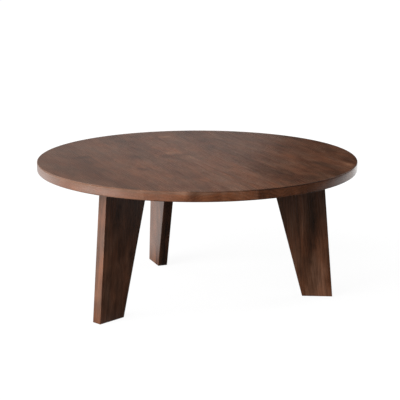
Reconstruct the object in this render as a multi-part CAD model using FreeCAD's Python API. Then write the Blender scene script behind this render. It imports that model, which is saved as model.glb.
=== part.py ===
import FreeCAD, Part
import math
import os
from FreeCAD import Vector

# Round cocktail table: a plank top on three tapered board legs, in millimetres.
# The origin is on the floor under the middle of the top, +Z is up, the planks run along Y,
# and the back leg stands on the +Y side of the middle.

# Overall size
top_diameter = 914.0
table_height = 406.0

# Top, glued edge to edge from planks of uneven width, from -X to +X
top_thickness = 27.0
top_arris_bevel = 2.0
plank_width_shares = (0.100, 0.090, 0.105, 0.090, 0.105, 0.080, 0.080, 0.115, 0.120, 0.115)

# Legs: radial boards on edge, each glued from an outer and an inner stave
paired_leg_angle = 65.0
leg_setback = 95.0
leg_top_width = 157.0
leg_foot_width = 88.0
leg_outer_lean = 33.0
leg_thickness = 30.0
leg_arris_bevel = 1.5
inner_stave_foot_width = 8.0

# Steel plate over each leg, let flush into the underside of the top
plate_thickness = 5.0
plate_end_inset = 13.0
plate_wing = 30.0
plate_corner_radius = 8.0
pocket_clearance = 0.3

# Countersunk screws that hold a plate to the end of its leg
screw_count = 4
screw_diameter = 5.0
screw_head_diameter = 10.0
screw_length = 60.0
screw_point_length = 7.0
screw_end_margin = 14.0
screw_clearance = 0.1

# Button-head bolts and washers that hold a plate to the top
bolt_diameter = 8.0
bolt_head_diameter = 14.0
bolt_head_height = 4.4
bolt_head_rim_height = 1.4
bolt_head_crown_diameter = 8.4
bolt_socket_width = 5.0
bolt_socket_depth = 2.6
bolt_thread_engagement = 11.0
bolt_end_margin = 16.0
bolt_hole_clearance = 0.4
washer_diameter = 16.0
washer_thickness = 1.6

# Threaded inserts in the top
insert_diameter = 12.0
insert_length = 13.0
insert_clearance = 0.1
insert_bore_relief = 1.0
thread_clearance = 0.1

# Two nail-on glides under each foot, let into shallow bores so that only their rims stand out
glide_diameter = 22.0
glide_height = 3.0
glide_stand = 1.0
glide_clearance = 0.2
glide_arris_bevel = 0.8
glide_end_margin = 10.0
nail_diameter = 2.4
nail_length = 16.0
nail_point_length = 3.0
nail_head_diameter = 7.0
nail_head_thickness = 0.8
nail_head_recess = 0.7
nail_clearance = 0.1

# Flat sides round each small turned piece and its hole, few so that the many repeats stay light
hardware_sides = 12
socket_sides = 6

# How far a cutting solid runs past what it cuts
overrun = 5.0

# Heights and radii that follow from the sizes above
underside = table_height - top_thickness
pocket_ceiling = underside + plate_thickness
foot = glide_stand
outer_top = top_diameter / 2 - leg_setback
outer_foot = outer_top + leg_outer_lean
inner_top = outer_top - leg_top_width
inner_foot = outer_foot - leg_foot_width
outer_stave_width = leg_foot_width - inner_stave_foot_width
plate_middle = (outer_top + inner_top) / 2
plate_length = leg_top_width - 2 * plate_end_inset
plate_width = leg_thickness + 2 * plate_wing

# The direction of each leg about +Z, in degrees from +X
front_direction = 270.0
leg_directions = {
    "back": front_direction - 180.0,
    "left": front_direction - paired_leg_angle,
    "right": front_direction + paired_leg_angle,
}

up = Vector(0, 0, 1)
middle = Vector(0, 0, 0)


def at_leg(shape, direction):
    """A copy of a shape made along +X, swung round to a leg's direction."""
    copy = shape.copy()
    copy.rotate(middle, up, direction)
    return copy


def turning(profile, sides=hardware_sides):
    """A solid turned about Z from (radius, height) points, with flat sides."""
    turns = [2 * math.pi * side / sides for side in range(sides + 1)]
    faces = []
    for (radius, height), (next_radius, next_height) in zip(profile, profile[1:] + profile[:1]):
        for turn, next_turn in zip(turns, turns[1:]):
            loop = [
                Vector(radius * math.cos(turn), radius * math.sin(turn), height),
                Vector(radius * math.cos(next_turn), radius * math.sin(next_turn), height),
                Vector(next_radius * math.cos(next_turn), next_radius * math.sin(next_turn), next_height),
                Vector(next_radius * math.cos(turn), next_radius * math.sin(turn), next_height),
            ]
            corners = [point for index, point in enumerate(loop) if point != loop[index - 1]]
            if len(corners) > 2:
                faces.append(Part.Face(Part.makePolygon(corners + corners[:1])))
    shell = Part.makeShell(faces)
    shell.sewShape()
    return Part.makeSolid(shell).removeSplitter()


def post(radius, low, high, sides=hardware_sides):
    """An upright flat-sided post on the axis, solid through."""
    return turning([(0, low), (radius, low), (radius, high), (0, high)], sides)


def ring(radius, bore_radius, low, high):
    """A flat-sided ring on the axis."""
    return turning([(bore_radius, low), (radius, low), (radius, high), (bore_radius, high)])


def evenly_spaced(first, last, count):
    """Places from first to last with equal steps."""
    step = (last - first) / (count - 1)
    return [first + step * index for index in range(count)]


def rounded_block(length, width, height, corner_radius, base):
    """A block centred on the plate's middle, with its four upright edges rounded."""
    corner = Vector(plate_middle - length / 2, -width / 2, base)
    block = Part.makeBox(length, width, height, corner)
    upright = [edge for edge in block.Edges if edge.BoundBox.ZLength > height / 2]
    return block.makeFillet(corner_radius, upright)


def screw_places():
    """Radii of the screws that go into the end of a leg, in a row along its middle."""
    reach = plate_length / 2 - screw_end_margin
    return evenly_spaced(plate_middle - reach, plate_middle + reach, screw_count)


def bolt_places():
    """Radius and side offset of the four bolts, in the plate's wings clear of the leg."""
    reach = plate_length / 2 - bolt_end_margin
    offset = (leg_thickness + plate_wing) / 2
    return [(plate_middle + end * reach, side * offset) for end in (-1, 1) for side in (-1, 1)]


def glide_places():
    """Radii of the two glides under a foot."""
    inset = glide_end_margin + glide_diameter / 2
    return [inner_foot + inset, outer_foot - inset]


def seam_radius(height):
    """Where the glue line of a leg lies: one outer stave in from the outer edge, parallel to it."""
    drop_share = (underside - height) / (underside - foot)
    return outer_top + drop_share * leg_outer_lean - outer_stave_width


def leg_prism(outline):
    """A board of the leg's thickness from (radius, height) points."""
    points = [Vector(radius, -leg_thickness / 2, height) for radius, height in outline]
    face = Part.Face(Part.makePolygon(points + points[:1]))
    return face.extrude(Vector(0, leg_thickness, 0))


def leg_blank():
    """The glued leg with bevelled edges, drilled for the plate's screws and bored for the glides."""
    blank = leg_prism([
        (inner_top, underside),
        (outer_top, underside),
        (outer_foot, foot),
        (inner_foot, foot),
    ])
    eased = [edge for edge in blank.Edges if edge.CenterOfMass.z < underside - leg_arris_bevel]
    blank = blank.makeChamfer(leg_arris_bevel, eased)
    screw_hole = post(
        screw_diameter / 2 + screw_clearance,
        pocket_ceiling - screw_length - screw_clearance,
        underside + overrun,
    )
    for radius in screw_places():
        blank = blank.cut(screw_hole.translated(Vector(radius, 0, 0)))
    glide_seat = post(glide_diameter / 2 + glide_clearance, foot - overrun, glide_height)
    nail_hole = post(
        nail_diameter / 2 + nail_clearance,
        foot - overrun,
        nail_head_recess + nail_length + nail_clearance,
    )
    for radius in glide_places():
        for bore in (glide_seat, nail_hole):
            blank = blank.cut(bore.translated(Vector(radius, 0, 0)))
    return blank


def leg_staves():
    """The outer stave, of even width, and the inner one, which takes the taper."""
    blank = leg_blank()
    above = underside + overrun
    below = foot - overrun
    outside = outer_foot + overrun
    outer_side = leg_prism([
        (seam_radius(above), above),
        (outside, above),
        (outside, below),
        (seam_radius(below), below),
    ])
    return blank.common(outer_side), blank.cut(outer_side)


def mounting_plate():
    """A steel plate with countersunk screw holes on its middle line and a bolt hole near each corner."""
    plate = rounded_block(plate_length, plate_width, plate_thickness, plate_corner_radius, underside)
    hole_radius = screw_diameter / 2 + screw_clearance
    head_radius = screw_head_diameter / 2 + screw_clearance
    countersink = turning([
        (0, underside - overrun),
        (hole_radius, underside - overrun),
        (hole_radius, pocket_ceiling - (head_radius - hole_radius)),
        (head_radius, pocket_ceiling),
        (0, pocket_ceiling),
    ])
    for radius in screw_places():
        plate = plate.cut(countersink.translated(Vector(radius, 0, 0)))
    bolt_hole = post(
        bolt_diameter / 2 + bolt_hole_clearance,
        underside - overrun,
        pocket_ceiling + overrun,
    )
    for radius, offset in bolt_places():
        plate = plate.cut(bolt_hole.translated(Vector(radius, offset, 0)))
    return plate


def plate_screws():
    """Countersunk wood screws, heads flush with the upper face of the plate."""
    head_radius = screw_head_diameter / 2
    shank_radius = screw_diameter / 2
    point = pocket_ceiling - screw_length
    screw = turning([
        (0, pocket_ceiling),
        (head_radius, pocket_ceiling),
        (shank_radius, pocket_ceiling - (head_radius - shank_radius)),
        (shank_radius, point + screw_point_length),
        (0, point),
    ])
    return [screw.translated(Vector(radius, 0, 0)) for radius in screw_places()]


def plate_bolts():
    """Button-head bolts, driven from below through washer and plate into the inserts."""
    bearing = underside - washer_thickness
    head_bottom = bearing - bolt_head_height
    tip = pocket_ceiling + bolt_thread_engagement
    bolt = turning([
        (0, head_bottom),
        (bolt_head_crown_diameter / 2, head_bottom),
        (bolt_head_diameter / 2, bearing - bolt_head_rim_height),
        (bolt_head_diameter / 2, bearing),
        (bolt_diameter / 2, bearing),
        (bolt_diameter / 2, tip),
        (0, tip),
    ])
    socket_corner_radius = bolt_socket_width / math.sqrt(3)
    socket_floor = head_bottom + bolt_socket_depth
    bolt = bolt.cut(post(socket_corner_radius, head_bottom - overrun, socket_floor, socket_sides))
    return [bolt.translated(Vector(radius, offset, 0)) for radius, offset in bolt_places()]


def bolt_washers():
    """Flat washers between the bolt heads and the plate."""
    bore_radius = bolt_diameter / 2 + bolt_hole_clearance
    washer = ring(washer_diameter / 2, bore_radius, underside - washer_thickness, underside)
    return [washer.translated(Vector(radius, offset, 0)) for radius, offset in bolt_places()]


def threaded_inserts():
    """Threaded sleeves let into the top, on the ceiling of the plate's pocket."""
    bore_radius = bolt_diameter / 2 + thread_clearance
    insert = ring(insert_diameter / 2, bore_radius, pocket_ceiling, pocket_ceiling + insert_length)
    return [insert.translated(Vector(radius, offset, 0)) for radius, offset in bolt_places()]


def foot_glides():
    """Round glides with bevelled lower rims, holed and recessed for their nails."""
    rim_radius = glide_diameter / 2
    nail_radius = nail_diameter / 2 + nail_clearance
    head_radius = nail_head_diameter / 2 + nail_clearance
    seat = nail_head_recess + nail_head_thickness
    glide = turning([
        (head_radius, 0),
        (rim_radius - glide_arris_bevel, 0),
        (rim_radius, glide_arris_bevel),
        (rim_radius, glide_height),
        (nail_radius, glide_height),
        (nail_radius, seat),
        (head_radius, seat),
    ])
    return [glide.translated(Vector(radius, 0, 0)) for radius in glide_places()]


def glide_nails():
    """Flat-headed nails that hold the glides to the foot."""
    head_radius = nail_head_diameter / 2
    shank_radius = nail_diameter / 2
    head_top = nail_head_recess + nail_head_thickness
    point = nail_head_recess + nail_length
    nail = turning([
        (0, nail_head_recess),
        (head_radius, nail_head_recess),
        (head_radius, head_top),
        (shank_radius, head_top),
        (shank_radius, point - nail_point_length),
        (0, point),
    ])
    return [nail.translated(Vector(radius, 0, 0)) for radius in glide_places()]


def round_top():
    """The glued panel, cut round, its arrises bevelled, then routed and drilled from below."""
    top = Part.makeCylinder(top_diameter / 2, top_thickness, Vector(0, 0, underside))
    rims = [edge for edge in top.Edges if edge.BoundBox.ZLength < top_thickness / 2]
    top = top.makeChamfer(top_arris_bevel, rims)
    pocket = rounded_block(
        plate_length + 2 * pocket_clearance,
        plate_width + 2 * pocket_clearance,
        plate_thickness + overrun,
        plate_corner_radius + pocket_clearance,
        underside - overrun,
    )
    insert_bore = post(
        insert_diameter / 2 + insert_clearance,
        pocket_ceiling - overrun,
        pocket_ceiling + insert_length + insert_bore_relief,
    )
    for direction in leg_directions.values():
        top = top.cut(at_leg(pocket, direction))
        for radius, offset in bolt_places():
            bore = insert_bore.translated(Vector(radius, offset, 0))
            top = top.cut(at_leg(bore, direction))
    return top


def top_planks():
    """The panel parted along its glue lines."""
    top = round_top()
    reach = top_diameter + 2 * overrun
    height = top_thickness + 2 * overrun
    left_edge = -top_diameter / 2
    planks = []
    for width_share in plank_width_shares:
        width = width_share * top_diameter
        corner = Vector(left_edge, -reach / 2, underside - overrun)
        planks.append(top.common(Part.makeBox(width, reach, height, corner)))
        left_edge += width
    return planks


def save(name, shape):
    """One node in its own file."""
    shape.exportStep(f"parts/{name}.step")


os.makedirs("parts", exist_ok=True)

for number, plank in enumerate(top_planks(), start=1):
    save(f"top_plank_{number:02d}", plank)

outer_stave, inner_stave = leg_staves()
pieces_of_each_leg = {
    "leg_outer_stave": outer_stave,
    "leg_inner_stave": inner_stave,
    "mounting_plate": mounting_plate(),
}
for side, direction in leg_directions.items():
    for piece, shape in pieces_of_each_leg.items():
        save(f"{side}_{piece}", at_leg(shape, direction))

fasteners_of_one_leg = {
    "plate_screws": plate_screws(),
    "plate_bolts": plate_bolts(),
    "bolt_washers": bolt_washers(),
    "threaded_inserts": threaded_inserts(),
    "foot_glides": foot_glides(),
    "glide_nails": glide_nails(),
}
for fastener, solids in fasteners_of_one_leg.items():
    around = [at_leg(solid, direction) for direction in leg_directions.values() for solid in solids]
    save(fastener, Part.makeCompound(around))
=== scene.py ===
import math
import random

import bmesh
import bpy
from mathutils import Matrix, Vector


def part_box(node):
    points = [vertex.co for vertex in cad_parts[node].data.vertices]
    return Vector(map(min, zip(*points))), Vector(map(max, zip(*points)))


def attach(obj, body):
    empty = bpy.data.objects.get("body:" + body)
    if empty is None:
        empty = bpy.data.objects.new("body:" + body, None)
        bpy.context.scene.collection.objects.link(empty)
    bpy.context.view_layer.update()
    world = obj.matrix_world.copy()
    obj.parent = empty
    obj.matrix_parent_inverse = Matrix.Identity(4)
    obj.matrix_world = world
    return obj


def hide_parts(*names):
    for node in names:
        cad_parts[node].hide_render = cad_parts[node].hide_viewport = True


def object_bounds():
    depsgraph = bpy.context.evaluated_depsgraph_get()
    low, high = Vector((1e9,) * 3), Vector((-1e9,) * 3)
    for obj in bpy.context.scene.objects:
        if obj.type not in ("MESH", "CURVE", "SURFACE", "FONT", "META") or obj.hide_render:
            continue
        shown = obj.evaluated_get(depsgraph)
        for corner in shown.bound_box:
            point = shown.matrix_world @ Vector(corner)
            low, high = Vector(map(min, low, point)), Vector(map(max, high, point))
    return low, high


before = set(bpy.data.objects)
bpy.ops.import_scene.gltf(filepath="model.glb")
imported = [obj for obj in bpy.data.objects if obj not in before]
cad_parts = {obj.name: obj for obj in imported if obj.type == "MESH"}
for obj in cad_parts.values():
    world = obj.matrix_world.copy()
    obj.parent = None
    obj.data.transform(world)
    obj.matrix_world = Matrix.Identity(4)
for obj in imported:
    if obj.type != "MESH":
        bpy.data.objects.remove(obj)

cad_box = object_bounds()

# Round top. Ten walnut planks of uneven width, glued edge to edge, cut round and sanded flat.
# The underside is routed for the leg plates, and both arrises of the rim are rounded over.
# Each plank comes from its own tree, so its rings, streaks and tone are its own.
MM = 0.001
PLANK_STOCK = (
    # tone of the face, tone of the end grain and strength of the figure, from left to right
    (0.44, 0.51, 0.50),
    (0.43, 0.59, 0.55),
    (0.48, 0.49, 0.65),
    (0.475, 0.47, 0.80),
    (0.53, 0.55, 0.95),
    (0.535, 0.42, 1.0),
    (0.47, 0.46, 1.0),
    (0.485, 0.56, 1.0),
    (0.455, 0.60, 1.0),
    (0.45, 0.56, 1.0),
)
FIGURE_AND_PAINTED_LIGHT = (
    # place and half size in mm, change of tone, and the swirl of the rings in mm
    # knots, swirls and streaks in the top
    ((29, 351, 400), (22, 18, 60), 0.25, 8),
    ((-48, 92, 400), (20, 18, 60), 0.20, 9),
    ((-52, 50, 400), (40, 18, 60), -0.14, 6),
    ((-12, 53, 400), (10, 12, 60), -0.13, 5),
    ((-205, -96, 400), (7, 17, 60), -0.24, 12),
    ((-194, -114, 400), (10, 15, 60), -0.12, 6),
    ((-12, 316, 400), (20, 22, 60), -0.15, 6),
    ((122, -230, 400), (15, 130, 60), -0.10, 8),
    ((155, -365, 400), (75, 55, 60), -0.10, 8),
    ((356, -250, 400), (14, 24, 60), 0.20, 6),
    ((380, -190, 400), (12, 34, 60), -0.12, 4),
    ((-305, 117, 400), (26, 14, 60), -0.12, 6),
    ((-171, 65, 400), (22, 34, 60), -0.10, 8),
    ((83, -60, 400), (16, 50, 60), -0.08, 6),
    # broad painted shade towards the front and left of its face, and painted light towards the back
    ((195, -310, 406), (90, 110, 9), -0.08, 0),
    ((40, -402, 406), (130, 58, 9), -0.06, 0),
    ((-345, -80, 406), (60, 120, 9), -0.09, 0),
    ((-165, -358, 406), (70, 60, 9), -0.06, 0),
    ((-232, 228, 406), (60, 90, 9), 0.05, 0),
    ((255, 180, 406), (75, 120, 9), 0.055, 0),
    # changes along the rim
    ((-412, -197, 392), (18, 32, 20), 0.14, 0),
    ((-195, -413, 401), (13, 13, 9), 0.15, 0),
    ((-172, -424, 390), (14, 14, 20), -0.18, 0),
    ((-3, -456, 390), (16, 12, 20), -0.10, 0),
    # the paler place at the right end of the rim is painted light
    ((335, -318, 391), (45, 45, 13), 0.12, 0),
    # knots and streaks in the front legs
    ((292, -153, 206), (17, 17, 55), -0.18, 14),
    ((293, -153, 276), (12, 12, 28), -0.12, 10),
    ((291, -152, 125), (8, 8, 40), -0.14, 8),
    ((324, -168, 35), (17, 17, 62), 0.10, 6),
    ((276, -145, 60), (14, 14, 70), -0.08, 0),
    ((257, -136, 190), (12, 12, 60), -0.07, 0),
    # the paler upper parts of both front legs are painted light in the shade under the top
    ((275, -140, 330), (60, 60, 70), 0.08, 0),
    ((-275, -140, 330), (60, 60, 60), 0.10, 0),
    ((270, -142, 188), (2.6, 2.6, 38), 0.16, 0),
    ((-285, -150, 292), (14, 14, 26), -0.12, 10),
    ((-282, -148, 185), (9, 9, 40), -0.12, 8),
    ((-259, -137, 168), (7, 7, 24), 0.09, 4),
    ((-343, -160, 205), (22, 22, 45), -0.05, 0),
    ((-354, -165, 50), (22, 22, 60), 0.07, 0),
    # painted shade down the inner edge of the back leg, and a paler foot
    ((3, 229, 290), (17, 30, 60), -0.20, 0),
    ((1, 254, 195), (17, 30, 60), -0.24, 0),
    ((0, 280, 100), (17, 30, 60), -0.27, 0),
    ((-1, 303, 15), (17, 30, 60), -0.33, 0),
    ((-15, 350, 15), (10, 40, 55), 0.11, 0),
)
PLANK_NAMES = [name for name in sorted(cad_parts) if name.startswith("top_plank")]
LEG_SIDES = ("back", "left", "right")
TOP_LOW = min(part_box(name)[0][2] for name in PLANK_NAMES)
TOP_HIGH = max(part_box(name)[1][2] for name in PLANK_NAMES)
TOP_RADIUS = (cad_box[1][1] - cad_box[0][1]) / 2
RIM_ROUNDING = 3.4 * MM
RIM_SEGMENTS = 720
ROUNDING_STEPS = 6
POCKET_CLEARANCE = 0.3 * MM
POCKET_CORNER = 8.3 * MM
CORNER_STEPS = 6
# The upper arris: painted shade where it faces the front, and a paler, greyer painted highlight on the
# left
SHADED_ARRIS_SIDE = (0.10, -0.995)
SHADED_ARRIS_EDGE = 0.848
ARRIS_PAINTED_SHADE = -0.36
HIGHLIT_ARRIS_SIDE = (-0.829, -0.560)
HIGHLIT_ARRIS_EDGE = 0.67
HIGHLIT_ARRIS_FULL = 0.766
HIGHLIT_ARRIS_DEPTH = 12 * MM
ARRIS_PAINTED_HIGHLIGHT = 0.075
ARRIS_HIGHLIGHT_GREYNESS = -0.6
# The heart of each plank's tree: to either side and below the face in mm, and along the plank in m
TREE_SEED = 11
HEART_ASIDE = 45
HEART_BELOW = (130, 280)
HEART_ALONG = 4
CREASE_ANGLE = math.radians(8)
CUT_TOLERANCE = 1e-7
WELD_DISTANCE = 1e-6


def linear(hex_colour):
    """An sRGB hex colour as linear red, green, blue and alpha."""
    parts = [int(hex_colour[start:start + 2], 16) / 255 for start in (1, 3, 5)]
    return tuple(p / 12.92 if p <= 0.04045 else ((p + 0.055) / 1.055) ** 2.4 for p in parts) + (1.0,)


def add(tree, kind, inputs=None, **settings):
    """A new node with its settings; an input takes a value, a socket or a node's first output."""
    node = tree.nodes.new(kind)
    for name, value in settings.items():
        setattr(node, name, value)
    for socket, value in (inputs or {}).items():
        if isinstance(value, bpy.types.Node):
            value = value.outputs[0]
        if isinstance(value, bpy.types.NodeSocket):
            tree.links.new(value, node.inputs[socket])
        else:
            node.inputs[socket].default_value = value
    return node


def new_material(name):
    """An empty node material and its tree."""
    material = bpy.data.materials.new(name)
    material.use_nodes = True
    material.node_tree.nodes.clear()
    return material, material.node_tree


def new_piece(name, bm, material):
    """An object at the origin from a bmesh, smooth over its curves and crisp at its edges."""
    mesh = bpy.data.meshes.new(name)
    bm.to_mesh(mesh)
    bm.free()
    mesh.shade_smooth()
    mesh.set_sharp_from_angle(angle=CREASE_ANGLE)
    mesh.materials.append(material)
    piece = bpy.data.objects.new(name, mesh)
    bpy.context.scene.collection.objects.link(piece)
    return piece


def make_walnut():
    """Black walnut, sanded and sprayed with satin lacquer: brown with redder and greyer patches, dark
    streaks along the grain, rings that open into arches on the faces, and darker, redder end grain."""
    sway_width = 110 * MM
    sway_length = 190 * MM
    sway_reach = (8 * MM, 50 * MM, 8 * MM)
    ring_width = 7.5 * MM
    early_wood = 0.80
    middle_wood = 0.50
    late_wood = 0.05
    ring_end = 0.60
    ring_wander = 40 * MM
    trunk_taper = 11 * MM
    heart_width = 24 * MM
    heart_darkness = -0.10
    rings_on_faces = 0.10
    rings_on_ends = 0.08
    end_grain_redness = 0.25
    least_red = 0.3
    most_red = 0.75
    tone_steps = (0.12, 0.36, 0.62, 0.92)
    dull_fibre = 0.30
    bright_fibre = 0.24
    pore_share = 0.8
    material, tree = new_material("walnut_sanded_satin_lacquer")
    place = add(tree, "ShaderNodeTexCoord").outputs["Object"]
    straight = add(tree, "ShaderNodeAttribute", attribute_name="board").outputs["Vector"]
    stock = add(tree, "ShaderNodeAttribute", attribute_name="stock").outputs["Vector"]
    grain = add(tree, "ShaderNodeAttribute", attribute_name="grain").outputs["Vector"]
    arris = add(tree, "ShaderNodeAttribute", attribute_name="arris").outputs["Vector"]
    face_tone, end_tone, strength = add(tree, "ShaderNodeSeparateXYZ", {0: stock}).outputs

    # The grain waves a little on its way along the board.
    cells = add(tree, "ShaderNodeVectorMath", {
        0: straight,
        1: (1 / sway_width, 1 / sway_length, 1 / sway_width),
    }, operation="MULTIPLY")
    sway = add(tree, "ShaderNodeTexNoise", {"Vector": cells, "Scale": 1.0, "Detail": 2.0})
    centring = {0: sway.outputs["Color"], 1: (0.5, 0.5, 0.5)}
    swing = add(tree, "ShaderNodeVectorMath", centring, operation="SUBTRACT")
    swayed = {0: swing, 1: sway_reach, 2: straight}
    coords = add(tree, "ShaderNodeVectorMath", swayed, operation="MULTIPLY_ADD")

    # Noise in cells that are drawn out along the grain: size across and along in mm, detail, roughness.
    # Fibre and pores are a few tenths of a millimetre wide in the wood, and are drawn coarser to show.
    patterns = {}
    for name, across, along, detail, roughness in (
        ("wander", 85, 330, 3.0, 0.45),
        ("gate", 140, 260, 2.0, 0.5),
        ("warmth", 36, 110, 2.0, 0.5),
        ("clouds", 42, 150, 3.0, 0.55),
        ("mottle", 30, 64, 2.0, 0.5),
        ("streaks", 11, 330, 5.0, 0.65),
        ("fibre", 3.4, 110, 4.0, 0.7),
        ("pores", 1.3, 24, 2.0, 0.7),
    ):
        cells = add(tree, "ShaderNodeVectorMath", {
            0: coords,
            1: (1 / (across * MM), 1 / (along * MM), 1 / (across * MM)),
        }, operation="MULTIPLY")
        patterns[name] = add(tree, "ShaderNodeTexNoise", {
            "Vector": cells,
            "Scale": 1.0,
            "Detail": detail,
            "Roughness": roughness,
        })

    # Where the saw passed a knot or a crotch, the rings swirl and the tone changes. The same marks paint
    # broad shade and light on the top, rim and legs.
    swirl = 0.0
    figure_and_painted_light = 0.0
    for centre, spread, change, pull in FIGURE_AND_PAINTED_LIGHT:
        offset = add(tree, "ShaderNodeVectorMath", {
            0: place,
            1: [value * MM for value in centre],
        }, operation="SUBTRACT")
        scaled = add(tree, "ShaderNodeVectorMath", {
            0: offset,
            1: [1 / (value * MM) for value in spread],
        }, operation="MULTIPLY")
        square = add(tree, "ShaderNodeVectorMath", {0: scaled, 1: scaled}, operation="DOT_PRODUCT")
        away = square.outputs["Value"]
        falling = add(tree, "ShaderNodeMath", {0: away, 1: -1.0}, operation="MULTIPLY")
        spot = add(tree, "ShaderNodeMath", {0: falling}, operation="EXPONENT")
        figure_and_painted_light = add(tree, "ShaderNodeMath", {0: spot, 1: change, 2: figure_and_painted_light}, operation="MULTIPLY_ADD")
        swirl = add(tree, "ShaderNodeMath", {0: spot, 1: pull * MM, 2: swirl}, operation="MULTIPLY_ADD")

    # Rings, by the distance from the heart of the tree, which wanders and tapers along the trunk.
    axes = add(tree, "ShaderNodeSeparateXYZ", {0: coords}).outputs
    section = add(tree, "ShaderNodeVectorMath", {0: coords, 1: (1, 0, 1)}, operation="MULTIPLY")
    heart = add(tree, "ShaderNodeVectorMath", {0: section}, operation="LENGTH").outputs["Value"]
    bent = add(tree, "ShaderNodeMath", {0: heart, 1: swirl}, operation="ADD")
    wandering = {0: patterns["wander"], 1: ring_wander, 2: bent}
    wandered = add(tree, "ShaderNodeMath", wandering, operation="MULTIPLY_ADD")
    tapering = {0: axes["Y"], 1: trunk_taper, 2: wandered}
    radius = add(tree, "ShaderNodeMath", tapering, operation="MULTIPLY_ADD")
    count = add(tree, "ShaderNodeMath", {0: radius, 1: ring_width}, operation="DIVIDE")
    turn = add(tree, "ShaderNodeMath", {0: count}, operation="FRACT")
    # Each ring starts pale, darkens to its late wood and ends sharply.
    rings = add(tree, "ShaderNodeValToRGB", {"Fac": turn})
    rings.color_ramp.interpolation = "EASE"
    rings.color_ramp.elements[0].color = (early_wood, early_wood, early_wood, 1)
    rings.color_ramp.elements[1].color = (ring_end, ring_end, ring_end, 1)
    rings.color_ramp.elements.new(0.50).color = (middle_wood, middle_wood, middle_wood, 1)
    rings.color_ramp.elements.new(0.84).color = (late_wood, late_wood, late_wood, 1)

    # A dark band where the saw passed near the heart, as wide as the wander lets it be.
    shift = add(tree, "ShaderNodeMath", {0: patterns["wander"], 1: 0.5}, operation="SUBTRACT")
    drift = {0: shift, 1: ring_wander, 2: axes["X"]}
    shifted = add(tree, "ShaderNodeMath", drift, operation="MULTIPLY_ADD")
    from_heart = add(tree, "ShaderNodeMath", {0: shifted, 1: heart_width}, operation="DIVIDE")
    squared = add(tree, "ShaderNodeMath", {0: from_heart, 1: from_heart}, operation="MULTIPLY")
    falling = add(tree, "ShaderNodeMath", {0: squared, 1: -1.0}, operation="MULTIPLY")
    near = add(tree, "ShaderNodeMath", {0: falling}, operation="EXPONENT")
    band = add(tree, "ShaderNodeMath", {0: near, 1: patterns["gate"]}, operation="MULTIPLY")

    # End grain, by how far the surface faces along the grain: it drinks lacquer and shows its rings.
    normal = add(tree, "ShaderNodeNewGeometry").outputs["Normal"]
    facing = add(tree, "ShaderNodeVectorMath", {0: normal, 1: grain}, operation="DOT_PRODUCT")
    along_grain = facing.outputs["Value"]
    end_grain = add(tree, "ShaderNodeMath", {0: along_grain, 1: along_grain}, operation="MULTIPLY")
    tone = add(tree, "ShaderNodeMix", {0: end_grain, 2: face_tone, 3: end_tone})
    showing = {0: end_grain, 1: rings_on_ends, 2: rings_on_faces}
    ring_weight = add(tree, "ShaderNodeMath", showing, operation="MULTIPLY_ADD")

    # How strongly each pattern shows in the tone of the wood
    drawn = 0.0
    for pattern, weight in (
        (rings, ring_weight),
        (patterns["clouds"], 0.32),
        (patterns["mottle"], 0.31),
        (patterns["streaks"], 0.25),
        (patterns["fibre"], 0.085),
        (patterns["pores"], 0.055),
    ):
        centred = add(tree, "ShaderNodeMath", {0: pattern, 1: 0.5}, operation="SUBTRACT")
        drawn = add(tree, "ShaderNodeMath", {0: centred, 1: weight, 2: drawn}, operation="MULTIPLY_ADD")
    drawn = add(tree, "ShaderNodeMath", {0: band, 1: heart_darkness, 2: drawn}, operation="MULTIPLY_ADD")
    shade = add(tree, "ShaderNodeMath", {0: drawn, 1: strength, 2: tone}, operation="MULTIPLY_ADD")
    shade = add(tree, "ShaderNodeMath", {0: shade, 1: figure_and_painted_light}, operation="ADD")

    # Painted shade darkens the upper arris at the front, and a painted highlight makes it paler and
    # greyer on the left.
    arris_shade, highlit_side = add(tree, "ShaderNodeSeparateXYZ", {0: arris}).outputs[:2]
    level = add(tree, "ShaderNodeSeparateXYZ", {0: place}).outputs["Z"]
    arris_highlight = add(tree, "ShaderNodeMapRange", {
        "Value": level,
        "From Min": TOP_HIGH - HIGHLIT_ARRIS_DEPTH,
        "From Max": TOP_HIGH - RIM_ROUNDING,
        "To Max": highlit_side,
    }, interpolation_type="SMOOTHSTEP")
    for share, change in ((arris_shade, ARRIS_PAINTED_SHADE), (arris_highlight, ARRIS_PAINTED_HIGHLIGHT)):
        shade = add(tree, "ShaderNodeMath", {0: share, 1: change, 2: shade}, operation="MULTIPLY_ADD")

    # Two ranges of brown by tone, greyer and redder, mixed in patches
    tints = []
    for deep, dark, middle, pale in (
        ("#2a1b12", "#503525", "#745341", "#9f7e65"),
        ("#2c180d", "#56321f", "#7d4e34", "#a97954"),
    ):
        tint = add(tree, "ShaderNodeValToRGB", {"Fac": shade})
        tint.color_ramp.elements[0].position = tone_steps[0]
        tint.color_ramp.elements[0].color = linear(deep)
        tint.color_ramp.elements[1].position = tone_steps[3]
        tint.color_ramp.elements[1].color = linear(pale)
        tint.color_ramp.elements.new(tone_steps[1]).color = linear(dark)
        tint.color_ramp.elements.new(tone_steps[2]).color = linear(middle)
        tints.append(tint)
    warmed = {0: end_grain, 1: end_grain_redness, 2: patterns["warmth"]}
    redness = add(tree, "ShaderNodeMath", warmed, operation="MULTIPLY_ADD")
    # the painted highlight on the left of the arris takes some red out of it
    highlight_greyed = {0: arris_highlight, 1: ARRIS_HIGHLIGHT_GREYNESS, 2: redness}
    redness = add(tree, "ShaderNodeMath", highlight_greyed, operation="MULTIPLY_ADD")
    red_share = add(tree, "ShaderNodeMapRange", {
        "Value": redness,
        "From Min": least_red,
        "From Max": most_red,
    })
    colour = add(tree, "ShaderNodeMix", {0: red_share, 6: tints[0], 7: tints[1]}, data_type="RGBA")

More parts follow.
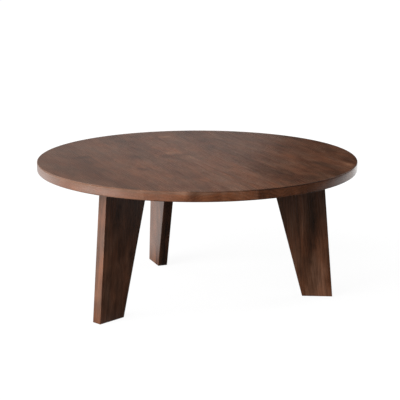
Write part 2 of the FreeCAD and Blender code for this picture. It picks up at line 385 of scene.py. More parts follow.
    # The lacquer sinks a little into the fibre and the pores.
    sheen = add(tree, "ShaderNodeMapRange", {
        "Value": patterns["fibre"],
        "To Min": dull_fibre,
        "To Max": bright_fibre,
    })
    sunk = {0: patterns["pores"], 1: pore_share, 2: patterns["fibre"]}
    height = add(tree, "ShaderNodeMath", sunk, operation="MULTIPLY_ADD")
    bump = add(tree, "ShaderNodeBump", {"Strength": 0.12, "Distance": 0.2 * MM, "Height": height})
    shader = add(tree, "ShaderNodeBsdfPrincipled", {
        "Base Color": colour.outputs[2],
        "Roughness": sheen,
        "IOR": 1.5,
        "Normal": bump,
    })
    add(tree, "ShaderNodeOutputMaterial", {"Surface": shader})
    return material


def mark_board(bm, to_board, grain, stock):
    """Gives each point its place in the tree that the board was sawn from, and the board's own tones."""
    board_layer = bm.verts.layers.float_vector.new("board")
    grain_layer = bm.verts.layers.float_vector.new("grain")
    stock_layer = bm.verts.layers.float_vector.new("stock")
    for vert in bm.verts:
        vert[board_layer] = to_board @ vert.co
        vert[grain_layer] = grain
        vert[stock_layer] = stock


def mark_arris_light(bm):
    """Marks how far each point is round the upper arris, and how much painted shade it takes at the front
    and how much painted highlight on the left."""
    layer = bm.verts.layers.float_vector.new("arris")
    for vert in bm.verts:
        if vert.co.z < (TOP_LOW + TOP_HIGH) / 2:
            continue
        out = math.hypot(vert.co.x, vert.co.y)
        turn = math.asin(min(max((out - TOP_RADIUS) / RIM_ROUNDING + 1, 0), 1))
        shaded_side = (vert.co.x * SHADED_ARRIS_SIDE[0] + vert.co.y * SHADED_ARRIS_SIDE[1]) / TOP_RADIUS
        highlit_side = (vert.co.x * HIGHLIT_ARRIS_SIDE[0] + vert.co.y * HIGHLIT_ARRIS_SIDE[1]) / TOP_RADIUS
        arris_shade = max((shaded_side - SHADED_ARRIS_EDGE) / (1 - SHADED_ARRIS_EDGE), 0)
        arris_highlight = min(max((highlit_side - HIGHLIT_ARRIS_EDGE) / (HIGHLIT_ARRIS_FULL - HIGHLIT_ARRIS_EDGE), 0), 1)
        vert[layer] = (math.sin(2 * turn) * arris_shade, math.sin(turn) * arris_highlight, 0)


def between_planes(bm, low, high, normal):
    """Keeps what lies between two parallel planes, with the sawn faces closed."""
    for point, outward in ((low, -normal), (high, normal)):
        parts = bm.verts[:] + bm.edges[:] + bm.faces[:]
        cut = bmesh.ops.bisect_plane(
            bm,
            geom=parts,
            plane_co=point,
            plane_no=outward,
            clear_outer=True,
            dist=CUT_TOLERANCE,
        )
        edges = [item for item in cut["geom_cut"] if isinstance(item, bmesh.types.BMEdge)]
        if edges:
            bmesh.ops.edgeloop_fill(bm, edges=edges)
    bmesh.ops.recalc_face_normals(bm, faces=bm.faces[:])
    return bm


def leg_direction(side):
    """The turn of a leg about Z from +X, read from where its outer stave stands."""
    low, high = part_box(side + "_leg_outer_stave")
    return math.atan2(low[1] + high[1], low[0] + high[0])


def pocket_block():
    """The routed pocket for a plate, along +X, from the back leg's plate, which lies along Y."""
    low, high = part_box("back_mounting_plate")
    half_width = (high[0] - low[0]) / 2 + POCKET_CLEARANCE
    near = low[1] - POCKET_CLEARANCE
    far = high[1] + POCKET_CLEARANCE
    outline = []
    corners = ((far, half_width), (near, half_width), (near, -half_width), (far, -half_width))
    for corner, (x, y) in enumerate(corners):
        centre_x = x - math.copysign(POCKET_CORNER, x - (near + far) / 2)
        centre_y = y - math.copysign(POCKET_CORNER, y)
        for step in range(CORNER_STEPS + 1):
            turn = math.pi / 2 * (corner + step / CORNER_STEPS)
            out_x = centre_x + POCKET_CORNER * math.cos(turn)
            outline.append((out_x, centre_y + POCKET_CORNER * math.sin(turn)))
    bm = bmesh.new()
    base = [bm.verts.new((x, y, 2 * low[2] - high[2])) for x, y in outline]
    face = bm.faces.new(base)
    lifted = bmesh.ops.extrude_face_region(bm, geom=[face])["geom"]
    points = [item for item in lifted if isinstance(item, bmesh.types.BMVert)]
    bmesh.ops.translate(bm, verts=points, vec=(0, 0, 2 * (high[2] - low[2])))
    bmesh.ops.recalc_face_normals(bm, faces=bm.faces[:])
    return bm


def routed_panel():
    """The round panel before it is parted into planks, as a mesh."""
    quarter = [math.pi / 2 * step / ROUNDING_STEPS for step in range(ROUNDING_STEPS + 1)]
    profile = []
    for turn in quarter:
        out = TOP_RADIUS - RIM_ROUNDING * (1 - math.sin(turn))
        profile.append((out, TOP_LOW + RIM_ROUNDING * (1 - math.cos(turn))))
    for turn in reversed(quarter):
        out = TOP_RADIUS - RIM_ROUNDING * (1 - math.sin(turn))
        profile.append((out, TOP_HIGH - RIM_ROUNDING * (1 - math.cos(turn))))
    bm = bmesh.new()
    rings = []
    for out, level in profile:
        turns = [2 * math.pi * step / RIM_SEGMENTS for step in range(RIM_SEGMENTS)]
        rings.append([bm.verts.new((out * math.cos(t), out * math.sin(t), level)) for t in turns])
    for lower, upper in zip(rings, rings[1:]):
        for step in range(RIM_SEGMENTS):
            bm.faces.new((lower[step - 1], lower[step], upper[step], upper[step - 1]))
    bm.faces.new(rings[0])
    bm.faces.new(rings[-1])
    bmesh.ops.recalc_face_normals(bm, faces=bm.faces[:])
    panel = new_piece("panel_blank", bm, None)
    for side in LEG_SIDES:
        cutter_bm = pocket_block()
        cutter_bm.transform(Matrix.Rotation(leg_direction(side), 4, "Z"))
        cutter = new_piece("pocket_" + side, cutter_bm, None)
        cut = panel.modifiers.new("pocket", "BOOLEAN")
        cut.operation = "DIFFERENCE"
        cut.solver = "EXACT"
        cut.object = cutter
    graph = bpy.context.evaluated_depsgraph_get()
    mesh = bpy.data.meshes.new_from_object(panel.evaluated_get(graph))
    for helper in [panel] + [cut.object for cut in panel.modifiers]:
        bpy.data.objects.remove(helper)
    return mesh


walnut = make_walnut()
panel_mesh = routed_panel()
tree_draw = random.Random(TREE_SEED)
for name, stock in zip(PLANK_NAMES, PLANK_STOCK):
    low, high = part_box(name)
    plank_bm = bmesh.new()
    plank_bm.from_mesh(panel_mesh)
    bmesh.ops.remove_doubles(plank_bm, verts=plank_bm.verts[:], dist=WELD_DISTANCE)
    between_planes(plank_bm, Vector((low[0], 0, 0)), Vector((high[0], 0, 0)), Vector((1, 0, 0)))
    for face in plank_bm.faces:
        face.material_index = 0
    heart = Vector((
        (low[0] + high[0]) / 2 + tree_draw.uniform(-HEART_ASIDE, HEART_ASIDE) * MM,
        tree_draw.uniform(-HEART_ALONG, HEART_ALONG),
        TOP_HIGH - tree_draw.uniform(*HEART_BELOW) * MM,
    ))
    mark_board(plank_bm, Matrix.Translation(-heart), (0, 1, 0), stock)
    mark_arris_light(plank_bm)
    plank = new_piece("walnut_" + name, plank_bm, walnut)
    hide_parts(name)
    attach(plank, "root")
bpy.data.meshes.remove(panel_mesh)

# Legs. Each is a walnut board on edge, glued from an even outer stave and a tapered inner one,
# sawn to shape with the grain along the outer edge, and eased along every arris but the head's.
# The outline is read from the back leg, whose staves lie along Y.
LEG_ROUNDING = 1.2 * MM
LEG_ROUNDING_STEPS = 3
INNER_STAVE_FOOT = 8 * MM
# The heart of each stave's tree: to either side of the seam, and out from one of the faces, in mm
STAVE_HEART_ASIDE = 30
STAVE_HEART_OUT = (35, 75)
STAVE_STOCK = {
    # tone of the face, tone of the end grain and strength of the figure
    "back": {"outer": (0.48, 0.46, 1.1), "inner": (0.50, 0.46, 1.1)},
    "left": {"outer": (0.44, 0.42, 1.2), "inner": (0.42, 0.40, 1.2)},
    "right": {"outer": (0.44, 0.44, 1.2), "inner": (0.39, 0.40, 1.2)},
}
outer_low, outer_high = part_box("back_leg_outer_stave")
inner_low, inner_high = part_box("back_leg_inner_stave")
leg_half = (outer_high[0] - outer_low[0]) / 2
foot_level = outer_low[2]
head_level = outer_high[2]
outer_foot = outer_high[1]
seam_head = outer_low[1]
inner_head = inner_low[1]
seam_foot = inner_high[1]
outer_head = outer_foot - (seam_foot - seam_head)
inner_foot = seam_foot - INNER_STAVE_FOOT


def leg_blank():
    """The whole leg along +X, its arrises rounded."""
    outline = (
        (inner_head, head_level),
        (outer_head, head_level),
        (outer_foot, foot_level),
        (inner_foot, foot_level),
    )
    bm = bmesh.new()
    near = [bm.verts.new((out, -leg_half, level)) for out, level in outline]
    far = [bm.verts.new((out, leg_half, level)) for out, level in outline]
    bm.faces.new(near)
    bm.faces.new(far[::-1])
    for corner in range(4):
        bm.faces.new((near[corner - 1], far[corner - 1], far[corner], near[corner]))
    bmesh.ops.recalc_face_normals(bm, faces=bm.faces[:])
    under_head = head_level - LEG_ROUNDING
    eased = [edge for edge in bm.edges if min(vert.co.z for vert in edge.verts) < under_head]
    bmesh.ops.bevel(
        bm,
        geom=eased,
        offset=LEG_ROUNDING,
        segments=LEG_ROUNDING_STEPS,
        profile=0.5,
        affect="EDGES",
    )
    return bm


lean = Vector((outer_head - outer_foot, 0, head_level - foot_level)).normalized()
square = Vector((lean.z, 0, -lean.x))
seam = Vector((seam_head, 0, head_level))
inside = Vector((inner_head - leg_half, 0, head_level))
outside = Vector((outer_foot + leg_half, 0, head_level))
along_stave = Matrix((square, lean, (0, 1, 0))).to_4x4() @ Matrix.Translation(-seam)
for side in LEG_SIDES:
    swing = Matrix.Rotation(leg_direction(side), 4, "Z")
    for stave, start, end in (("outer", seam, outside), ("inner", inside, seam)):
        stave_bm = between_planes(leg_blank(), start, end, square)
        heart = Vector((
            tree_draw.uniform(-STAVE_HEART_ASIDE, STAVE_HEART_ASIDE) * MM,
            tree_draw.uniform(-HEART_ALONG, HEART_ALONG),
            tree_draw.choice((-1, 1)) * tree_draw.uniform(*STAVE_HEART_OUT) * MM,
        ))
        to_board = Matrix.Translation(-heart) @ along_stave
        mark_board(stave_bm, to_board, swing.to_3x3() @ lean, STAVE_STOCK[side][stave])
        stave_bm.transform(swing)
        node = side + "_leg_" + stave + "_stave"
        piece = new_piece("walnut_" + node, stave_bm, walnut)
        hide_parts(node)
        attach(piece, "root")

# Mounting plates. One for each leg, laser-cut from steel plate, powder-coated black and let flush
# into the underside of the top. The wood screws that hold them to the legs are behind them.
ORANGE_PEEL = 1.2 * MM
COAT_PATCHES = 40 * MM


def make_powder_coat():
    """Polyester powder baked on steel: near black, with an orange peel that breaks up its highlight."""
    material, tree = new_material("powder_coat_baked_black")
    place = add(tree, "ShaderNodeTexCoord").outputs["Object"]
    peel = add(tree, "ShaderNodeTexNoise", {"Vector": place, "Scale": 1 / ORANGE_PEEL, "Detail": 2.0})
    patches = add(tree, "ShaderNodeTexNoise", {"Vector": place, "Scale": 1 / COAT_PATCHES, "Detail": 3.0})
    colour = add(tree, "ShaderNodeValToRGB", {"Fac": patches})
    colour.color_ramp.elements[0].color = linear("#1b1b1c")
    colour.color_ramp.elements[1].color = linear("#2a2a2b")
    gloss = add(tree, "ShaderNodeMapRange", {"Value": patches, "To Min": 0.42, "To Max": 0.54})
    bump = add(tree, "ShaderNodeBump", {"Strength": 0.4, "Distance": 0.08 * MM, "Height": peel})
    shader = add(tree, "ShaderNodeBsdfPrincipled", {
        "Base Color": colour,
        "Roughness": gloss,
        "Normal": bump,
    })
    add(tree, "ShaderNodeOutputMaterial", {"Surface": shader})
    return material


def dress(node, material):
    """A CAD node that keeps its shape and takes a finish."""
    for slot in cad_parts[node].material_slots:
        slot.material = material


powder_coat = make_powder_coat()
for side in LEG_SIDES:
    dress(side + "_mounting_plate", powder_coat)

# Bolts and washers. Zinc-plated button-head bolts with hexagon sockets are driven up from below,
# four to a plate, each through a flat washer into a brass insert in the top.
# The screws behind the plates, and the inserts, are out of sight and keep their CAD shapes.
BOLT_RADIUS = 4 * MM
BOLT_HEAD_RADIUS = 7 * MM
BOLT_HEAD_HEIGHT = 4.4 * MM
DOME_HEIGHT = 3.3 * MM
DOME_STEPS = 8
SOCKET_CORNER = 2.9 * MM
SOCKET_WALL = 2.84 * MM
SOCKET_DEPTH = 2.6 * MM
SOCKET_EASE = 0.2 * MM
SOCKET_LAND = 0.6 * MM
WASHER_RADIUS = 8 * MM
WASHER_BORE = 4.4 * MM
WASHER_EASE = 0.25 * MM
BOLT_END_MARGIN = 16 * MM
TURNED_STEPS = 48
ZINC_PATCHES = 5 * MM
# Turning marks are about a tenth of a millimetre apart on the metal, and are drawn coarser to show.
TURNING_LINES = 0.6 * MM
plate_low, plate_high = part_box("back_mounting_plate")
bolt_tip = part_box("plate_bolts")[1][2]
washer_low, washer_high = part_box("bolt_washers")
plate_middle = (plate_low[1] + plate_high[1]) / 2
bolt_reach = (plate_high[1] - plate_low[1]) / 2 - BOLT_END_MARGIN
bolt_offset = ((plate_high[0] - plate_low[0]) / 2 + leg_half) / 2


def make_zinc():
    """Turned steel with bright zinc plate: bluish silver, with fine turning marks and cloudy patches."""
    material, tree = new_material("zinc_plated_turned_steel")
    place = add(tree, "ShaderNodeTexCoord").outputs["Object"]
    patches = add(tree, "ShaderNodeTexNoise", {"Vector": place, "Scale": 1 / ZINC_PATCHES, "Detail": 3.0})
    marks = add(tree, "ShaderNodeTexNoise", {"Vector": place, "Scale": 1 / TURNING_LINES, "Detail": 1.0})
    colour = add(tree, "ShaderNodeValToRGB", {"Fac": patches})
    colour.color_ramp.elements[0].color = linear("#a9adb2")
    colour.color_ramp.elements[1].color = linear("#d3d6d8")
    gloss = add(tree, "ShaderNodeMapRange", {"Value": patches, "To Min": 0.22, "To Max": 0.38})
    bump = add(tree, "ShaderNodeBump", {"Strength": 0.15, "Distance": 0.05 * MM, "Height": marks})
    shader = add(tree, "ShaderNodeBsdfPrincipled", {
        "Base Color": colour,
        "Metallic": 1.0,
        "Roughness": gloss,
        "Normal": bump,
    })
    add(tree, "ShaderNodeOutputMaterial", {"Surface": shader})
    return material


def make_brass():
    """Brass turned from bar: warm yellow, with fine turning marks."""
    material, tree = new_material("brass_turned")
    place = add(tree, "ShaderNodeTexCoord").outputs["Object"]
    marks = add(tree, "ShaderNodeTexNoise", {"Vector": place, "Scale": 1 / TURNING_LINES, "Detail": 2.0})
    colour = add(tree, "ShaderNodeValToRGB", {"Fac": marks})
    colour.color_ramp.elements[0].color = linear("#b58a3e")
    colour.color_ramp.elements[1].color = linear("#d8b266")
    gloss = add(tree, "ShaderNodeMapRange", {"Value": marks, "To Min": 0.25, "To Max": 0.39})
    shader = add(tree, "ShaderNodeBsdfPrincipled", {
        "Base Color": colour,
        "Metallic": 1.0,
        "Roughness": gloss,
    })
    add(tree, "ShaderNodeOutputMaterial", {"Surface": shader})
    return material


def turned_solid(profile, closed):
    """A bmesh turned about Z from (radius, height) points; a closed profile makes a ring."""
    bm = bmesh.new()
    rings = []
    for radius, level in profile:
        if radius == 0:
            rings.append([bm.verts.new((0, 0, level))] * TURNED_STEPS)
            continue
        turns = [2 * math.pi * step / TURNED_STEPS for step in range(TURNED_STEPS)]
        rings.append([bm.verts.new((radius * math.cos(t), radius * math.sin(t), level)) for t in turns])
    pairs = list(zip(rings, rings[1:]))
    if closed:
        pairs.append((rings[-1], rings[0]))
    for lower, upper in pairs:
        for step in range(TURNED_STEPS):
            corners = dict.fromkeys((lower[step - 1], lower[step], upper[step], upper[step - 1]))
            bm.faces.new(list(corners))
    bmesh.ops.recalc_face_normals(bm, faces=bm.faces[:])
    return bm


def bolt_solid():
    """A button-head bolt on the axis, its head down, with a hexagon socket."""
    bearing = washer_low[2]
    crown = bearing - BOLT_HEAD_HEIGHT
    land = SOCKET_CORNER + SOCKET_LAND
    profile = [
        (0, crown + SOCKET_DEPTH),
        (SOCKET_WALL, crown + SOCKET_DEPTH),
        (SOCKET_WALL, crown + SOCKET_EASE),
        (SOCKET_CORNER + SOCKET_EASE, crown),
    ]
    for step in range(DOME_STEPS + 1):
        turn = math.pi / 2 * step / DOME_STEPS
        out = land + (BOLT_HEAD_RADIUS - land) * math.sin(turn)
        profile.append((out, crown + DOME_HEIGHT * (1 - math.cos(turn))))
    profile += [
        (BOLT_HEAD_RADIUS, bearing),
        (BOLT_RADIUS, bearing),
        (BOLT_RADIUS, bolt_tip),
        (0, bolt_tip),
    ]
    bm = turned_solid(profile, closed=False)
    half_side = math.pi / 6
    for vert in bm.verts:
        out = math.hypot(vert.co.x, vert.co.y)
        if 0 < out < SOCKET_CORNER and vert.co.z < bearing:
            turn = math.atan2(vert.co.y, vert.co.x)
            from_flat = (turn + half_side) % (2 * half_side) - half_side
            flat = SOCKET_CORNER * math.cos(half_side) / math.cos(from_flat)
            vert.co.x *= flat / out
            vert.co.y *= flat / out
    return bm


def set_around_legs(name):
    """A node tree that sets its piece at each fixing place of a leg, and round the three legs."""
    tree = bpy.data.node_groups.new(name, "GeometryNodeTree")
    tree.interface.new_socket("Geometry", in_out="INPUT", socket_type="NodeSocketGeometry")
    sizes = {
        "Middle": "NodeSocketFloat",
        "Reach": "NodeSocketFloat",
        "Offset": "NodeSocketFloat",
        "Rows": "NodeSocketInt",
        "Back direction": "NodeSocketFloat",
        "Left direction": "NodeSocketFloat",
        "Right direction": "NodeSocketFloat",
        "Finish": "NodeSocketMaterial",
    }
    for label, kind in sizes.items():
        tree.interface.new_socket(label, in_out="INPUT", socket_type=kind)
    tree.interface.new_socket("Geometry", in_out="OUTPUT", socket_type="NodeSocketGeometry")
    given = add(tree, "NodeGroupInput").outputs
    near = add(tree, "ShaderNodeMath", {0: given["Middle"], 1: given["Reach"]}, operation="SUBTRACT")
    start = add(tree, "ShaderNodeCombineXYZ", {"X": near})
    length = add(tree, "ShaderNodeMath", {0: given["Reach"], 1: 2.0}, operation="MULTIPLY")
    span = add(tree, "ShaderNodeCombineXYZ", {"X": length})
    line = add(tree, "GeometryNodeMeshLine", {"Count": 2, "Start Location": start, "Offset": span})
    below = add(tree, "ShaderNodeMath", {0: given["Offset"], 1: -1.0}, operation="MULTIPLY")
    first = add(tree, "ShaderNodeCombineXYZ", {"Y": below})
    width = add(tree, "ShaderNodeMath", {0: given["Offset"], 1: 2.0}, operation="MULTIPLY")
    step = add(tree, "ShaderNodeCombineXYZ", {"Y": width})
    row = add(tree, "GeometryNodeMeshLine", {
        "Count": given["Rows"],
        "Start Location": first,
        "Offset": step,
    })
    places = add(tree, "GeometryNodeInstanceOnPoints", {"Points": line, "Instance": row})
    points = add(tree, "GeometryNodeRealizeInstances", {"Geometry": places})
    pieces = add(tree, "GeometryNodeInstanceOnPoints", {"Points": points, "Instance": given["Geometry"]})
    joined = add(tree, "GeometryNodeJoinGeometry")
    for label in ("Back direction", "Left direction", "Right direction"):
        turn = add(tree, "ShaderNodeCombineXYZ", {"Z": given[label]})
        swung = add(tree, "GeometryNodeTransform", {"Geometry": pieces, "Rotation": turn})
        tree.links.new(swung.outputs[0], joined.inputs[0])
    solid = add(tree, "GeometryNodeRealizeInstances", {"Geometry": joined})
    finished = add(tree, "GeometryNodeSetMaterial", {"Geometry": solid, "Material": given["Finish"]})
    add(tree, "NodeGroupOutput", {"Geometry": finished})
    return tree


fixing_tree = set_around_legs("fixings_round_the_legs")


def set_fixings(name, bm, material, middle, reach, offset, rows):
    """A plain mesh of one small piece repeated at its places under every leg."""
    piece = new_piece(name, bm, material)
    layout = piece.modifiers.new("layout", "NODES")
    layout.node_group = fixing_tree
    values = {
        "Middle": middle,
        "Reach": reach,
        "Offset": offset,
        "Rows": rows,
        "Back direction": leg_direction("back"),
        "Left direction": leg_direction("left"),
        "Right direction": leg_direction("right"),
        "Finish": material,
    }
    for item in fixing_tree.interface.items_tree:
        if item.in_out == "INPUT" and item.name in values:
            layout[item.identifier] = values[item.name]
    graph = bpy.context.evaluated_depsgraph_get()
    mesh = bpy.data.meshes.new_from_object(piece.evaluated_get(graph))
    piece.modifiers.clear()
    piece.data = mesh
    return piece


zinc = make_zinc()
bolt = bolt_solid()
bolts = set_fixings("zinc_plate_bolts", bolt, zinc, plate_middle, bolt_reach, bolt_offset, rows=2)
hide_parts("plate_bolts")
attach(bolts, "root")
washer_profile = [
    (WASHER_BORE, washer_low[2]),
    (WASHER_RADIUS - WASHER_EASE, washer_low[2]),
    (WASHER_RADIUS, washer_low[2] + WASHER_EASE),
    (WASHER_RADIUS, washer_high[2]),
    (WASHER_BORE, washer_high[2]),
]
washer = turned_solid(washer_profile, closed=True)
washers = set_fixings("zinc_bolt_washers", washer, zinc, plate_middle, bolt_reach, bolt_offset, rows=2)
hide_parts("bolt_washers")
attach(washers, "root")
dress("plate_screws", zinc)
dress("threaded_inserts", make_brass())

# Glides. Two round nylon feet let into the end of each leg keep its end grain off the floor.
# They are moulded in dark brown, with a recess for the zinc-plated nail that holds them.
GLIDE_RADIUS = 11 * MM
GLIDE_EASE = 0.8 * MM
GLIDE_CREASE = 0.24 * MM
GLIDE_END_MARGIN = 10 * MM
NAIL_RADIUS = 1.3 * MM
NAIL_HEAD_RADIUS = 3.6 * MM
NAIL_SEAT = 1.5 * MM
# The mould's grain is about a tenth of a millimetre, and is drawn coarser to show.
MOULD_GRAIN = 0.9 * MM
glide_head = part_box("foot_glides")[1][2]
foot_middle = (inner_foot + outer_foot) / 2
glide_reach = (outer_foot - inner_foot) / 2 - GLIDE_END_MARGIN - GLIDE_RADIUS


def make_nylon():
    """Moulded nylon: dark brown, with a fine satin grain from the mould."""
    material, tree = new_material("nylon_moulded_dark_brown")
    place = add(tree, "ShaderNodeTexCoord").outputs["Object"]
    grain = add(tree, "ShaderNodeTexNoise", {"Vector": place, "Scale": 1 / MOULD_GRAIN, "Detail": 2.0})
    colour = add(tree, "ShaderNodeValToRGB", {"Fac": grain})
    colour.color_ramp.elements[0].color = linear("#2a1d16")
    colour.color_ramp.elements[1].color = linear("#3a2a20")
    gloss = add(tree, "ShaderNodeMapRange", {"Value": grain, "To Min": 0.43, "To Max": 0.57})
    bump = add(tree, "ShaderNodeBump", {"Strength": 0.3, "Distance": 0.05 * MM, "Height": grain})
    shader = add(tree, "ShaderNodeBsdfPrincipled", {
        "Base Color": colour,
        "Roughness": gloss,
        "IOR": 1.53,
        "Normal": bump,
    })
    add(tree, "ShaderNodeOutputMaterial", {"Surface": shader})
    return material


glide_profile = [
    (NAIL_HEAD_RADIUS, 0),
    (GLIDE_RADIUS - GLIDE_EASE, 0),
    (GLIDE_RADIUS - GLIDE_CREASE, GLIDE_CREASE),
    (GLIDE_RADIUS, GLIDE_EASE),
    (GLIDE_RADIUS, glide_head),
    (NAIL_RADIUS, glide_head),
    (NAIL_RADIUS, NAIL_SEAT),
    (NAIL_HEAD_RADIUS, NAIL_SEAT),
]
glide = turned_solid(glide_profile, closed=True)
nylon = make_nylon()
glides = set_fixings("nylon_foot_glides", glide, nylon, foot_middle, glide_reach, offset=0.0, rows=1)
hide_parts("foot_glides")
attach(glides, "root")
dress("glide_nails", zinc)

# Floor. A roll of white paper that the camera sees as near white, with the table's soft shadow on it.
# The table mirrors it as a painted reflection: for glossy rays the paper glows dark towards the camera,
# pale on the left and behind, and bright in soft patches under the window, past the window and behind on
# the right.
FLOOR_RADIUS = 60.0
FLOOR_SEGMENTS = 96
PAPER_BOUNCE = 0.16
PAPER_SHADE = 0.10
PAPER_NEAR = 0.92
PAPER_NEAR_RADIUS = 0.7
PAPER_FAR = 1.0
PAPER_FAR_RADIUS = 2.0
MIRROR_DARK = 0.06
MIRROR_PALE = 0.9
PALE_SLANT = 0.8
PALE_START = 0.2
PALE_EDGE = 0.1
PALE_FULL = 0.6
MIRROR_PATCHES = (
    # metres to the left and away, radius of the soft edge's outside and inside in metres, and level
    (1.95, -1.0, 1.1, 0.2, 5.0),
    (2.0, 0.7, 1.3, 0.3, 0.9),
    (-1.65, 1.3, 1.9, 0.5, 1.2),
)
VIEW_AZIMUTH = math.radians(-21.0)
view_away = Vector((-math.sin(VIEW_AZIMUTH), math.cos(VIEW_AZIMUTH), 0))
view_left = Vector((-math.cos(VIEW_AZIMUTH), -math.sin(VIEW_AZIMUTH), 0))


def make_studio_paper():
    """Seamless white paper, rolled smooth: a flat white with a soft shadow, that throws little light."""
    material, tree = new_material("studio_paper_rolled_white")
    seen = add(tree, "ShaderNodeLightPath").outputs
    place = add(tree, "ShaderNodeTexCoord").outputs["Object"]
    behind_left = view_away + PALE_SLANT * view_left
    depth = add(tree, "ShaderNodeVectorMath", {0: place, 1: behind_left}, operation="DOT_PRODUCT")
    beyond = add(tree, "ShaderNodeMath", {0: depth.outputs["Value"], 1: PALE_START}, operation="SUBTRACT")
    left = add(tree, "ShaderNodeVectorMath", {0: place, 1: view_left}, operation="DOT_PRODUCT")
    clear = add(tree, "ShaderNodeMath", {0: beyond, 1: left.outputs["Value"]}, operation="MAXIMUM")
    reflection_glow_level = add(tree, "ShaderNodeMapRange", {
        "Value": clear,
        "From Min": PALE_EDGE,
        "From Max": PALE_FULL,
        "To Min": MIRROR_DARK,
        "To Max": MIRROR_PALE,
    }, interpolation_type="SMOOTHSTEP")
    for to_left, to_away, outside, inside, bright in MIRROR_PATCHES:
        centre = to_left * view_left + to_away * view_away
        from_centre = add(tree, "ShaderNodeVectorMath", {0: place, 1: centre}, operation="DISTANCE")
        patch = add(tree, "ShaderNodeMapRange", {
            "Value": from_centre.outputs["Value"],
            "From Min": outside,
            "From Max": inside,
            "To Max": bright,
        }, interpolation_type="SMOOTHSTEP")
        reflection_glow_level = add(tree, "ShaderNodeMath", {0: reflection_glow_level, 1: patch}, operation="ADD")
    distance = add(tree, "ShaderNodeVectorMath", {0: place}, operation="LENGTH").outputs["Value"]
    paper_level = add(tree, "ShaderNodeMapRange", {
        "Value": distance,
        "From Min": PAPER_NEAR_RADIUS,
        "From Max": PAPER_FAR_RADIUS,
        "To Min": PAPER_NEAR,
        "To Max": PAPER_FAR,
    }, interpolation_type="SMOOTHSTEP")
    dim = add(tree, "ShaderNodeBsdfDiffuse", {"Color": (PAPER_BOUNCE, PAPER_BOUNCE, PAPER_BOUNCE, 1)})
    shaded = add(tree, "ShaderNodeBsdfDiffuse", {"Color": (PAPER_SHADE, PAPER_SHADE, PAPER_SHADE, 1)})
    # for glossy rays the paper glows at these levels, a painted reflection
    painted_reflection = add(tree, "ShaderNodeEmission", {"Color": (1, 1, 1, 1), "Strength": reflection_glow_level})
    glow = add(tree, "ShaderNodeEmission", {"Color": (1, 1, 1, 1), "Strength": paper_level})
    white = add(tree, "ShaderNodeAddShader", {0: shaded, 1: glow})
    thrown = add(tree, "ShaderNodeMixShader", {0: seen["Is Glossy Ray"], 1: dim, 2: painted_reflection})
    above = add(tree, "ShaderNodeMixShader", {0: seen["Is Camera Ray"], 1: thrown, 2: white})
    below = add(tree, "ShaderNodeBsdfTransparent")
    backside = add(tree, "ShaderNodeNewGeometry").outputs["Backfacing"]
    surface = add(tree, "ShaderNodeMixShader", {0: backside, 1: above, 2: below})
    add(tree, "ShaderNodeOutputMaterial", {"Surface": surface})
    return material


floor_bm = bmesh.new()
bmesh.ops.create_circle(floor_bm, cap_ends=True, radius=FLOOR_RADIUS, segments=FLOOR_SEGMENTS)
floor = new_piece("studio_floor", floor_bm, make_studio_paper())

# Studio. A wide soft lamp low on the left, as a window would be, a weaker one at the front left and a
# faint one on the right. The room has a lit wall behind on the left, a soft glow on either side, and
# a little light from the ceiling and the front. A long lens looks a little down from the front.
VIEW_DISTANCE = 3.4778
VIEW_HEIGHT = 1.0825
VIEW_PITCH = math.radians(12.992)
VIEW_YAW = math.radians(0.129)
LENS_PIXELS = 1233.1
FRAME_PIXELS = 400
SENSOR_WIDTH = 36.0
# Levels of the room, and the part of a direction's rise, left or away over which each one comes in
ROOM_HORIZON = 0.02
ROOM_CEILING = 0.13
CEILING_RISE = (0.25, 0.8)
WALL_FOOT = 0.207
WALL_UPPER = 0.200
WALL_RISE = (0.17, 0.22)
WALL_LEAN = 0.10
WALL_EDGE = (-0.102, -0.061)
WALL_AWAY = (0.3, 0.7)
FRONT_FILL = 0.13
FRONT_AWAY = (0.0, -0.6)
GLOWS = (
    # shares of left, away and up in its direction, cosine at its edge and in its middle, and level
    (0.6, 0.4, 0.65, 0.82, 0.97, 1.2),
    (-0.56, 0.70, 0.45, 0.93, 0.985, 0.45),
)
up = Vector((0, 0, 1))

camera_data = bpy.data.cameras.new("view")
camera_data.sensor_width = SENSOR_WIDTH
camera_data.lens = SENSOR_WIDTH * LENS_PIXELS / FRAME_PIXELS
camera = bpy.data.objects.new("view", camera_data)
camera.location = (
    VIEW_DISTANCE * math.sin(VIEW_AZIMUTH),
    -VIEW_DISTANCE * math.cos(VIEW_AZIMUTH),
    VIEW_HEIGHT,
)
camera.rotation_euler = (math.pi / 2 - VIEW_PITCH, 0, VIEW_AZIMUTH - VIEW_YAW)
bpy.context.scene.collection.objects.link(camera)
bpy.context.scene.camera = camera


def soft_lamp(name, azimuth, elevation, distance, width, height, level):
    """A softbox aimed at the top; a level of 1 lights a surface that faces it to its own colour."""
    lamp_data = bpy.data.lights.new(name, "AREA")
    lamp_data.shape = "RECTANGLE"
    lamp_data.size = width
    lamp_data.size_y = height
    lamp_data.energy = level * (math.pi * distance) ** 2
    lamp = bpy.data.objects.new(name, lamp_data)
    around = math.radians(azimuth)
    rise = math.radians(elevation)
    towards = Vector((
        math.sin(around) * math.cos(rise),
        -math.cos(around) * math.cos(rise),
        math.sin(rise),
    ))
    lamp.location = Vector((0, 0, TOP_LOW)) + distance * towards
    lamp.rotation_euler = towards.to_track_quat("Z", "Y").to_euler()
    lamp.visible_glossy = False
    bpy.context.scene.collection.objects.link(lamp)


soft_lamp("window", azimuth=-80, elevation=17.5, distance=6.0, width=4.7, height=2.3, level=1.55)
soft_lamp("front_softbox", azimuth=-40, elevation=40, distance=6.0, width=3.9, height=2.6, level=0.5)
soft_lamp("right_softbox", azimuth=100, elevation=28, distance=5.0, width=2.4, height=1.8, level=0.28)

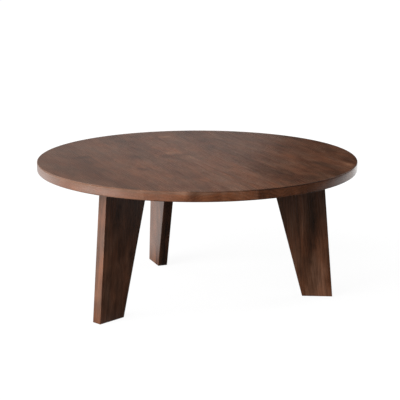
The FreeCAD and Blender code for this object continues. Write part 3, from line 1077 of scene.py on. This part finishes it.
world = bpy.data.worlds.new("room")
world.use_nodes = True
room = world.node_tree
room.nodes.clear()
looking = add(room, "ShaderNodeTexCoord").outputs["Generated"]
rise = add(room, "ShaderNodeSeparateXYZ", {0: looking}).outputs["Z"]
overhead = add(room, "ShaderNodeMapRange", {
    "Value": rise,
    "From Min": CEILING_RISE[0],
    "From Max": CEILING_RISE[1],
    "To Min": ROOM_HORIZON,
    "To Max": ROOM_CEILING,
})
leaning_left = view_left - WALL_LEAN * up
leftness = add(room, "ShaderNodeVectorMath", {0: looking, 1: leaning_left}, operation="DOT_PRODUCT")
wall_edge = add(room, "ShaderNodeMapRange", {
    "Value": leftness.outputs["Value"],
    "From Min": WALL_EDGE[0],
    "From Max": WALL_EDGE[1],
}, interpolation_type="SMOOTHSTEP")
wall_shade = add(room, "ShaderNodeMapRange", {
    "Value": rise,
    "From Min": WALL_RISE[0],
    "From Max": WALL_RISE[1],
    "To Min": WALL_FOOT,
    "To Max": WALL_UPPER,
})
awayness = add(room, "ShaderNodeVectorMath", {0: looking, 1: view_away}, operation="DOT_PRODUCT")
wall_level = add(room, "ShaderNodeMapRange", {
    "Value": awayness.outputs["Value"],
    "From Min": WALL_AWAY[0],
    "From Max": WALL_AWAY[1],
    "To Max": wall_shade,
}, interpolation_type="SMOOTHSTEP")
front_level = add(room, "ShaderNodeMapRange", {
    "Value": awayness.outputs["Value"],
    "From Min": FRONT_AWAY[0],
    "From Max": FRONT_AWAY[1],
    "To Max": FRONT_FILL,
}, interpolation_type="SMOOTHSTEP")
around = add(room, "ShaderNodeMath", {0: overhead, 1: front_level}, operation="ADD")
for left_share, away_share, up_share, edge, middle, glow in GLOWS:
    aim = (left_share * view_left + away_share * view_away + up_share * up).normalized()
    nearness = add(room, "ShaderNodeVectorMath", {0: looking, 1: aim}, operation="DOT_PRODUCT")
    patch = add(room, "ShaderNodeMapRange", {
        "Value": nearness.outputs["Value"],
        "From Min": edge,
        "From Max": middle,
        "To Max": glow,
    }, interpolation_type="SMOOTHSTEP")
    around = add(room, "ShaderNodeMath", {0: around, 1: patch}, operation="ADD")
level = add(room, "ShaderNodeMath", {0: wall_edge, 1: wall_level, 2: around}, operation="MULTIPLY_ADD")
soft = add(room, "ShaderNodeBackground", {"Color": (1, 1, 1, 1), "Strength": level})
white = add(room, "ShaderNodeBackground", {"Color": (1, 1, 1, 1), "Strength": 1.0})
seen = add(room, "ShaderNodeLightPath").outputs["Is Camera Ray"]
mixed = add(room, "ShaderNodeMixShader", {0: seen, 1: soft, 2: white})
add(room, "ShaderNodeOutputWorld", {"Surface": mixed})
bpy.context.scene.world = world
bpy.context.scene.view_settings.view_transform = "Standard"
